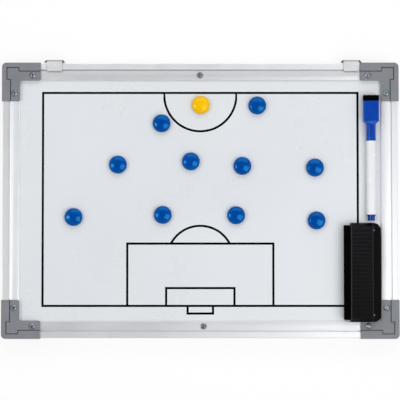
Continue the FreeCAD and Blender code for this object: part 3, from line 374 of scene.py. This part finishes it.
class Finish:
    """A material under construction: one shader, and the groups that feed it."""

    def __init__(self, name, **settings):
        self.material = bpy.data.materials.new(name)
        self.material.use_nodes = True
        self.tree = self.material.node_tree
        self.tree.nodes.clear()
        self.shader = self.tree.nodes.new("ShaderNodeBsdfPrincipled")
        self.output = self.tree.nodes.new("ShaderNodeOutputMaterial")
        self.tree.links.new(self.shader.outputs["BSDF"], self.output.inputs["Surface"])
        for label, value in settings.items():
            self.shader.inputs[label.replace("_", " ")].default_value = value

    def add(self, group, **values):
        """Places a group with its own values, and returns what it puts out."""
        node = self.tree.nodes.new("ShaderNodeGroup")
        node.node_tree = group
        for label, value in values.items():
            plug_in(self.tree, value, node.inputs[label])
        return node.outputs

    def flat(self):
        """The surface's own normal."""
        return self.tree.nodes.new("ShaderNodeNewGeometry").outputs["Normal"]

    def rounded(self, radius):
        """Normals that round the edges."""
        return self.add(SOFT_EDGE, Radius=radius)["Normal"]

    def grain(self, normal, steps, depth):
        """A fine grain over a normal."""
        return self.add(MOULDED_GRAIN, Scale=steps, Depth=depth, Normal=normal)["Normal"]

    def tone(self, base, lighter, drift):
        """A colour that drifts between two tones."""
        return self.add(TONE_DRIFT, Colour=base, Lighter=lighter, Scale=drift)["Colour"]

    def feed(self, **sockets):
        """Links sockets to the shader, and returns the material."""
        for label, socket in sockets.items():
            self.tree.links.new(socket, self.shader.inputs[label.replace("_", " ")])
        return self.material

    def close(self, shade, normal, gloss, drift):
        """Links a colour, a normal and a roughness between two values, and returns the material."""
        low, high = gloss
        rough = self.add(HANDLED_GLOSS, Low=low, High=high, Scale=drift)["Roughness"]
        return self.feed(Base_Color=shade, Roughness=rough, Normal=normal)


def moulded(name, base, lighter, gloss, grain=1600.0, depth=0.12, edge=0.3 * MM, rub=None, painted_shade=None,
            **settings):
    """A moulded plastic with a fine grain, soft edges that handling has lightened, and painted shade in its
    seams.
    """
    finish = Finish(name, **settings)
    edges = finish.add(SOFT_EDGE, Radius=edge)
    shade = finish.tone(base, lighter, PLASTIC_DRIFT)
    if rub is not None:
        wear_and_painted_light = spread(finish.tree, edges["Edge"], 0.0, EDGE_RUB, 0.0, 1.0)
        shade = blend(finish.tree, wear_and_painted_light, shade, rub)
    # Painted shade in the seams, darkest where their walls are close
    if painted_shade is not None:
        seams = finish.add(PAINTED_GROOVE_SHADE, Reach=SEAM_REACH)
        shade = blend(finish.tree, seams["Painted_Shade"], shade, painted_shade)
    return finish.close(shade, finish.grain(edges["Normal"], grain, depth), gloss, PLASTIC_GLOSS_DRIFT)


def anodised(rail, across, depth, shade_grey, outer, inner):
    """Satin anodised aluminium with die lines along the rail, painted shade in its groove, and painted light
    and shade that make its outer and inner bands lighter or darker.
    """
    finish = Finish(f"anodised_{rail}", Metallic=0.7)
    tree = finish.tree
    axis = "XYZ".index(across)
    edge = max(abs(corner[axis]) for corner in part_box(rail))
    stretch = [LINES_ACROSS if i in (axis, 2) else LINES_ALONG for i in range(3)]
    lines = finish.add(DRAWN_LINES, Stretch=stretch, Depth=depth, Normal=finish.rounded(0.35 * MM))
    streak = spread(tree, lines["Streak"], 0.0, 1.0)
    shade = blend(tree, streak, colour(0.775, 0.79, 0.815), colour(0.835, 0.85, 0.875))
    # Painted light and shade: the outer and inner bands are made lighter or darker, each rail by its own
    # tones
    from_middle = reckon(tree, "ABSOLUTE", axes(tree, point(tree))[across])
    painted_light_band = spread(tree, from_middle, inner, outer, *(edge - side for side in GROOVE_SIDES))
    shade = blend(tree, 1.0, shade, painted_light_band, "MULTIPLY")
    # Painted shade in the groove, in a grey of each rail's own
    painted_shade = finish.add(PAINTED_GROOVE_SHADE, Reach=GROOVE_REACH)
    shade = blend(tree, painted_shade["Painted_Shade"], shade, colour(shade_grey, shade_grey, shade_grey))
    return finish.close(shade, lines["Normal"], gloss=(0.38, 0.46), drift=25.0)


def zinc_screw(name, dark, light, drift):
    """Zinc with fine turning marks and a tone that drifts between a dark and a light colour. On the rail
    screws the drift is strong, and its light and dark patches are painted highlights and shade.
    """
    finish = Finish(name, Metallic=1.0)
    lines = finish.add(DRAWN_LINES, Stretch=TURNING_STEPS, Depth=0.3, Normal=finish.rounded(0.2 * MM))
    return finish.close(finish.tone(dark, light, drift), lines["Normal"], gloss=(0.2, 0.38), drift=500.0)


def writing_lacquer():
    """White dry-wipe lacquer with faint wiping marks left on it."""
    finish = Finish("writing_lacquer", Coat_Weight=0.25, Coat_Roughness=0.12)
    grain = finish.grain(finish.flat(), steps=420.0, depth=0.05)
    wipes = finish.add(DRAWN_LINES, Stretch=WIPE_STEPS, Depth=0.015, Normal=grain)
    haze = spread(finish.tree, wipes["Streak"], 0.0, HAZE_SHARE, *HAZE_NOISE)
    clean = finish.tone(colour(0.752, 0.785, 0.818), colour(0.777, 0.805, 0.838), drift=7.0)
    shade = blend(finish.tree, haze, clean, colour(0.732, 0.765, 0.803))
    return finish.close(shade, wipes["Normal"], gloss=(0.24, 0.36), drift=12.0)


def printed_ink():
    """Black screen print, a little thin in places."""
    finish = Finish("printed_ink", Specular_IOR_Level=0.02)
    shade = finish.tone(colour(0.0005, 0.0005, 0.0008), colour(0.0014, 0.0014, 0.0018), drift=120.0)
    grain = finish.grain(finish.flat(), steps=2500.0, depth=0.1)
    return finish.close(shade, grain, gloss=(0.38, 0.55), drift=200.0)


def galvanised():
    """Galvanised steel with its spangle."""
    finish = Finish("galvanised_back", Metallic=1.0)
    tree = finish.tree
    spangle = tree.nodes.new("ShaderNodeTexVoronoi")
    spangle.inputs["Scale"].default_value = SPANGLE_STEPS
    tree.links.new(point(tree), spangle.inputs["Vector"])
    grey = tree.nodes.new("ShaderNodeRGBToBW")
    tree.links.new(spangle.outputs["Color"], grey.inputs["Color"])
    facet = spread(tree, grey.outputs["Val"], 0.0, 1.0, *SPANGLE_GREYS)
    shade = blend(tree, facet, colour(0.46, 0.47, 0.48), colour(0.66, 0.67, 0.68))
    gloss = spread(tree, grey.outputs["Val"], 0.3, 0.55, *SPANGLE_GREYS)
    lines = finish.add(DRAWN_LINES, Stretch=ROLLING_STEPS, Depth=0.12, Normal=finish.flat())
    return finish.feed(Base_Color=shade, Roughness=gloss, Normal=lines["Normal"])


def fibrous(name, base, lighter, fibres, depth, **settings):
    """Felt, bonded fibre or fibre board."""
    finish = Finish(name, **settings)
    nap = finish.add(FIBRE_NAP, Scale=fibres, Depth=depth, Normal=finish.flat())
    shade = blend(finish.tree, spread(finish.tree, nap["Fibre"], 0.0, 1.0), base, lighter)
    return finish.close(shade, nap["Normal"], gloss=(0.85, 0.98), drift=150.0)


def lacquered_clip():
    """Dark grey plastic with silver lacquer on everything in front of the rear plate."""
    finish = Finish("lacquered_clip")
    tree = finish.tree
    silver = finish.tone(colour(0.64, 0.65, 0.665), colour(0.72, 0.73, 0.745), LACQUER_DRIFT)
    bare = finish.tone(colour(0.05, 0.053, 0.058), colour(0.08, 0.083, 0.09), LACQUER_DRIFT)
    lacquer = spread(tree, axes(tree, point(tree))["Z"], 0.0, 1.0, *LACQUER_HEIGHTS)
    shade = blend(tree, lacquer, bare, silver)
    grain = finish.grain(finish.rounded(0.4 * MM), steps=1500.0, depth=0.12)
    return finish.close(shade, grain, gloss=(0.32, 0.45), drift=PLASTIC_GLOSS_DRIFT)


def plug_plastic():
    """Glossy blue plastic with two painted highlights along the marker's tail plug."""
    low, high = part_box("marker_end_plug")
    finish = Finish("plug_blue", Specular_IOR_Level=0.4, Specular_Tint=colour(0.15, 0.45, 1.0))
    tree = finish.tree
    shade = finish.tone(colour(0.0003, 0.02, 0.16), colour(0.0005, 0.024, 0.18), PLASTIC_DRIFT)
    across = axes(tree, point(tree))["X"]
    # Two painted highlights, as lamps would leave on a glossy cylinder
    for side in (-1, 1):
        middle = (low[0] + high[0]) / 2 + side * PLUG_HIGHLIGHT_OFFSET
        ridge = reckon(tree, "COMPARE", across, middle, PLUG_HIGHLIGHT_WIDTH / 2)
        shade = blend(tree, ridge, shade, colour(0.06, 0.15, 0.55))
    grain = finish.grain(finish.rounded(0.06 * MM), steps=1600.0, depth=0.02)
    return finish.close(shade, grain, gloss=(0.08, 0.14), drift=PLASTIC_GLOSS_DRIFT)


def eraser_plastic():
    """Black plastic, darkest on the bevels, with painted light on its ribbed grip, painted shade in the
    grip's grooves and toward its lower end, painted highlights along two edges, and two painted glints.
    """
    low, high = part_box("eraser_shell")
    ridge = high[0] - BEVEL_RIDGE
    finish = Finish("eraser_black", Specular_IOR_Level=0.06)
    tree = finish.tree
    smooth = finish.tone(colour(0.001, 0.001, 0.0015), colour(0.002, 0.002, 0.0026), drift=60.0)
    grip = finish.tone(colour(0.0075, 0.0075, 0.0088), colour(0.0115, 0.0115, 0.013), drift=160.0)
    facing = axes(tree, tree.nodes.new("ShaderNodeTexCoord").outputs["Normal"])
    place = point(tree)
    spot = axes(tree, place)
    # Painted light on the up-facing grip, with painted shade in its grooves and toward its lower end
    front = spread(tree, facing["Z"], 0.0, 1.0, *GRIP_FACING)
    ribs = spread(tree, spot["Z"], GROOVE_PAINTED_SHADE, 1.0, *(high[2] - drop for drop in RIB_SHADE))
    painted_shade_to_bottom = spread(tree, spot["Y"], LOWER_END_PAINTED_SHADE, 1.0, low[1], high[1])
    wear_and_painted_light = reckon(tree, "MULTIPLY", reckon(tree, "MULTIPLY", front, ribs), painted_shade_to_bottom)
    shade = blend(tree, wear_and_painted_light, smooth, grip)
    # Painted highlights along the left edge and the ridge
    for middle, grey in ((low[0] + EDGE_HIGHLIGHT_WIDTH / 2, LEFT_EDGE_HIGHLIGHT), (ridge, RIDGE_HIGHLIGHT)):
        edge = reckon(tree, "COMPARE", spot["X"], middle, EDGE_HIGHLIGHT_WIDTH / 2)
        shade = blend(tree, edge, shade, colour(grey, grey, grey))
    # Two painted glints on the bevel
    for along in (low[1] + GLINT_FROM_END, high[1] - GLINT_FROM_END):
        middle = (ridge + GLINT_BEHIND_RIDGE, along, high[2] - GLINT_DROP)
        away = reckon_vectors(tree, "DISTANCE", place, middle)["Value"]
        glint = spread(tree, away, 1.0, 0.0, *GLINT_RADII)
        shade = blend(tree, glint, shade, colour(0.12, 0.12, 0.125))
    grain = finish.grain(finish.rounded(0.4 * MM), steps=1300.0, depth=0.3)
    return finish.close(shade, grain, gloss=(0.36, 0.5), drift=PLASTIC_GLOSS_DRIFT)


def make_finishes():
    """Makes every finish, by the record's material slot, or by the piece where it has one of its own."""
    return {
        # Corner mouldings: painted shade in their seams
        "corner": moulded(
            "corner_plastic", colour(0.188, 0.197, 0.216), colour(0.22, 0.229, 0.249), gloss=(0.48, 0.62),
            grain=1400.0, depth=0.35, edge=0.5 * MM, rub=colour(0.27, 0.28, 0.295),
            painted_shade=colour(0.03, 0.03, 0.033)),
        "screw": zinc_screw(
            "zinc_screw", colour(0.13, 0.165, 0.185), colour(0.32, 0.37, 0.40), drift=700.0),
        # Rail screws: a strong drift whose light and dark patches are painted highlights and shade
        "rail_screws": zinc_screw(
            "zinc_with_painted_glints", colour(0.02, 0.026, 0.03), colour(0.4, 0.44, 0.47), drift=330.0),
        "writing_face": writing_lacquer(),
        "print": printed_ink(),
        "core": fibrous(
            "core_fibre", colour(0.30, 0.21, 0.13), colour(0.46, 0.35, 0.24), fibres=700.0, depth=0.5),
        "back": galvanised(),
        "clip": lacquered_clip(),
        "keeper": moulded(
            "keeper_yellow", colour(0.93, 0.52, 0.003), colour(0.97, 0.56, 0.005), gloss=(0.1, 0.16),
            grain=1800.0, depth=0.03, Specular_IOR_Level=0.4, Specular_Tint=colour(1.0, 0.85, 0.3)),
        "player": moulded(
            "player_blue", colour(0.0004, 0.052, 0.31), colour(0.0008, 0.066, 0.36), gloss=(0.1, 0.16),
            grain=1800.0, depth=0.03, Specular_IOR_Level=0.8, Specular_Tint=colour(0.05, 0.6, 1.0)),
        "ferrite": moulded(
            "ferrite", colour(0.03, 0.03, 0.032), colour(0.07, 0.07, 0.073), gloss=(0.6, 0.8),
            grain=3000.0, depth=0.5, edge=0.2 * MM),
        "barrel": moulded(
            "barrel_white", colour(0.83, 0.84, 0.85), colour(0.845, 0.855, 0.865), gloss=(0.22, 0.3),
            grain=1200.0, depth=0.06),
        "cap": moulded(
            "cap_blue", colour(0.003, 0.045, 0.36), colour(0.005, 0.06, 0.42), gloss=(0.12, 0.18),
            depth=0.08, edge=0.4 * MM, rub=colour(0.015, 0.09, 0.48),
            Specular_IOR_Level=0.8, Specular_Tint=colour(0.2, 0.5, 1.0)),
        "marker_end_plug": plug_plastic(),
        "holder": moulded(
            "holder_white", colour(0.72, 0.72, 0.72), colour(0.8, 0.8, 0.8), gloss=(0.4, 0.5)),
        "eraser": eraser_plastic(),
        "ink_fibre": fibrous(
            "ink_fibre", colour(0.012, 0.02, 0.09), colour(0.03, 0.05, 0.17), fibres=1500.0, depth=0.6),
        "felt": fibrous(
            "black_felt", colour(0.0006, 0.0006, 0.0009), colour(0.002, 0.002, 0.0026), fibres=1100.0,
            depth=0.9, Specular_IOR_Level=0.02),
    }


def dress_nodes(finishes):
    """Gives each piece of the frame its finish. Each rail has one of its own."""
    slots = {entry["node"]: entry["material_slot"] for entry in frame["record"]["subparts"]}
    for name, node in frame["nodes"].items():
        if name in RAILS:
            finish = anodised(name, *RAILS[name])
        else:
            finish = finishes.get(name, finishes.get(slots[name]))
        for slot in node.material_slots:
            slot.material = finish


# Felt

def steps(low, high, margin):
    """Places from one side of a block to the other, closer together near both sides."""
    inside = max(2, round((high - low - 2 * margin) / FELT_STEP))
    middle = [low + margin + (high - low - 2 * margin) * i / inside for i in range(inside + 1)]
    near = [low + margin * share for share in MARGIN_CUTS]
    far = [high - margin * share for share in reversed(MARGIN_CUTS)]
    return near + middle + far


def felt_shell(places):
    """Makes a closed block whose six sides are cut at the given places along each axis."""
    mesh = bmesh.new()
    made = {}

    def vertex(*index):
        if index not in made:
            made[index] = mesh.verts.new([places[i][index[i]] for i in range(3)])
        return made[index]

    ends = [len(row) - 1 for row in places]
    for axis in range(3):
        first, second = (axis + 1) % 3, (axis + 2) % 3
        for side in (0, ends[axis]):
            for a in range(ends[first]):
                for b in range(ends[second]):
                    loop = []
                    for u, v in ((a, b), (a + 1, b), (a + 1, b + 1), (a, b + 1)):
                        index = [0, 0, 0]
                        index[axis], index[first], index[second] = side, u, v
                        loop.append(vertex(*index))
                    mesh.faces.new(loop if side else loop[::-1])
    return mesh


def felt_block(name, node, body, margin, layers):
    """Makes a felt block with rounded edges and a matted surface. Layers show on its -X side."""
    low, high = (Vector(corner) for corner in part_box(node))
    mesh = felt_shell([steps(low[i], high[i], margin) for i in range(3)])
    for spot in mesh.verts:
        place = spot.co.copy()
        core = Vector([min(max(place[i], low[i] + margin), high[i] - margin) for i in range(3)])
        away = (place - core).normalized()
        nap = noise.fractal(place * FELT_FINENESS, *FELT_FRACTAL) * FELT_ROUGH
        rounded = core + away * (margin + nap - FELT_ROUGH)
        if layers and away.x < LAYERED_FACING:
            share = (place.z - low.z) / (high.z - low.z) * layers
            drift = LAYER_DRIFT * noise.noise(Vector((0.0, place.y * LAYER_WAVES, math.floor(share))))
            gap = abs((share + drift) % 1.0 - 0.5) * 2.0
            rounded.x += LAYER_DEPTH * gap ** LAYER_SHARPNESS
        spot.co = rounded
    bmesh.ops.recalc_face_normals(mesh, faces=mesh.faces)
    data = bpy.data.meshes.new(name)
    mesh.to_mesh(data)
    mesh.free()
    for face in data.polygons:
        face.use_smooth = True
    piece = bpy.data.objects.new(name, data)
    bpy.context.collection.objects.link(piece)
    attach(piece, body)
    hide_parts(node)
    return piece


def make_felts(finishes):
    """Makes the eraser's layered felt and the felt on the marker's cap."""
    wiper = felt_block("eraser_wiping_felt", "eraser_felt", "eraser", ERASER_FELT_ROUND, ERASER_LAYERS)
    tip = felt_block("cap_wiping_felt", "marker_cap_felt", "marker_cap", CAP_FELT_ROUND, 0)
    for piece in (wiper, tip):
        piece.data.materials.append(finishes["felt"])


# Studio

def seen_rays(tree):
    """Marks the rays that reach a surface from the camera, straight or by a reflection or through glass."""
    path = tree.nodes.new("ShaderNodeLightPath").outputs
    bent = reckon(tree, "MAXIMUM", path["Is Glossy Ray"], path["Is Transmission Ray"])
    return reckon(tree, "MAXIMUM", path["Is Camera Ray"], bent)


def make_floor():
    """Lays a plain pale floor under the board. Part of its white is its own, so its shadows stay faint."""
    corners = [(x * FLOOR_REACH, y * FLOOR_REACH, 0) for x, y in ((-1, -1), (1, -1), (1, 1), (-1, 1))]
    mesh = bpy.data.meshes.new("studio_floor")
    mesh.from_pydata(corners, [], [(0, 1, 2, 3)])
    floor = bpy.data.objects.new("studio_floor", mesh)
    bpy.context.collection.objects.link(floor)
    finish = Finish("pale_floor", Roughness=0.9, Specular_IOR_Level=0.0)
    tree = finish.tree
    finish.feed(Base_Color=finish.tone(colour(0.97, 0.97, 0.97), colour(0.99, 0.99, 0.99), drift=2.0))
    share = reckon(tree, "MULTIPLY", seen_rays(tree), FLOOR_GLOW)
    glow = tree.nodes.new("ShaderNodeEmission").outputs["Emission"]
    mix_shaders(tree, share, finish.shader.outputs["BSDF"], glow, finish.output)
    mesh.materials.append(finish.material)


def make_lamp(name, spot, width, height, power):
    """Hangs a soft light that faces the board."""
    light = bpy.data.lights.new(name, "AREA")
    light.shape = "RECTANGLE"
    light.size = width
    light.size_y = height
    light.energy = power
    lamp = bpy.data.objects.new(name, light)
    lamp.location = spot
    lamp.rotation_euler = (-Vector(spot)).to_track_quat("-Z", "Y").to_euler()
    bpy.context.collection.objects.link(lamp)


def make_world():
    """Surrounds the board with pale walls that darken along the horizon and straight above.

    Where the floor ends, a low white backdrop shows.
    """
    world = bpy.data.worlds.new("studio")
    bpy.context.scene.world = world
    world.use_nodes = True
    tree = world.node_tree
    tree.nodes.clear()
    height = axes(tree, tree.nodes.new("ShaderNodeTexCoord").outputs["Generated"])["Z"]
    horizon = spread(tree, height, HORIZON_LIGHT, WALL_LIGHT, *WALL_HEIGHTS)
    zenith = spread(tree, height, 1.0, ZENITH_SHARE, *ZENITH_HEIGHTS)
    low = spread(tree, height, 1.0, 0.0, *BACKDROP_HEIGHTS)
    walls, backdrop = (tree.nodes.new("ShaderNodeBackground") for _ in range(2))
    for node in (walls, backdrop):
        node.inputs["Color"].default_value = colour(1.0, 1.0, 1.0)
    tree.links.new(reckon(tree, "MULTIPLY", horizon, zenith), walls.inputs["Strength"])
    shown = reckon(tree, "MULTIPLY", seen_rays(tree), low)
    output = tree.nodes.new("ShaderNodeOutputWorld")
    mix_shaders(tree, shown, walls.outputs["Background"], backdrop.outputs["Background"], output)


def make_camera():
    """Looks down on the board from the photograph's distance."""
    camera = bpy.data.cameras.new("over_board")
    camera.lens = CAMERA_LENS
    camera.sensor_width = CAMERA_SENSOR
    camera.clip_end = CAMERA_REACH
    eye = bpy.data.objects.new("over_board", camera)
    back_off = Vector((0, -math.sin(CAMERA_TILT), math.cos(CAMERA_TILT)))
    eye.location = Vector((*VIEW_CENTRE, RAIL_FRONT)) + CAMERA_DISTANCE * back_off
    eye.rotation_euler.x = CAMERA_TILT
    bpy.context.collection.objects.link(eye)
    bpy.context.scene.camera = eye


def make_studio():
    """Sets up floor, lights, surroundings and camera."""
    make_floor()
    for name, (spot, width, height, power) in LAMPS.items():
        make_lamp(name, spot, width, height, power)
    make_world()
    make_camera()
    bpy.context.scene.view_settings.view_transform = "Standard"


finishes = make_finishes()
dress_nodes(finishes)
make_felts(finishes)
make_studio()
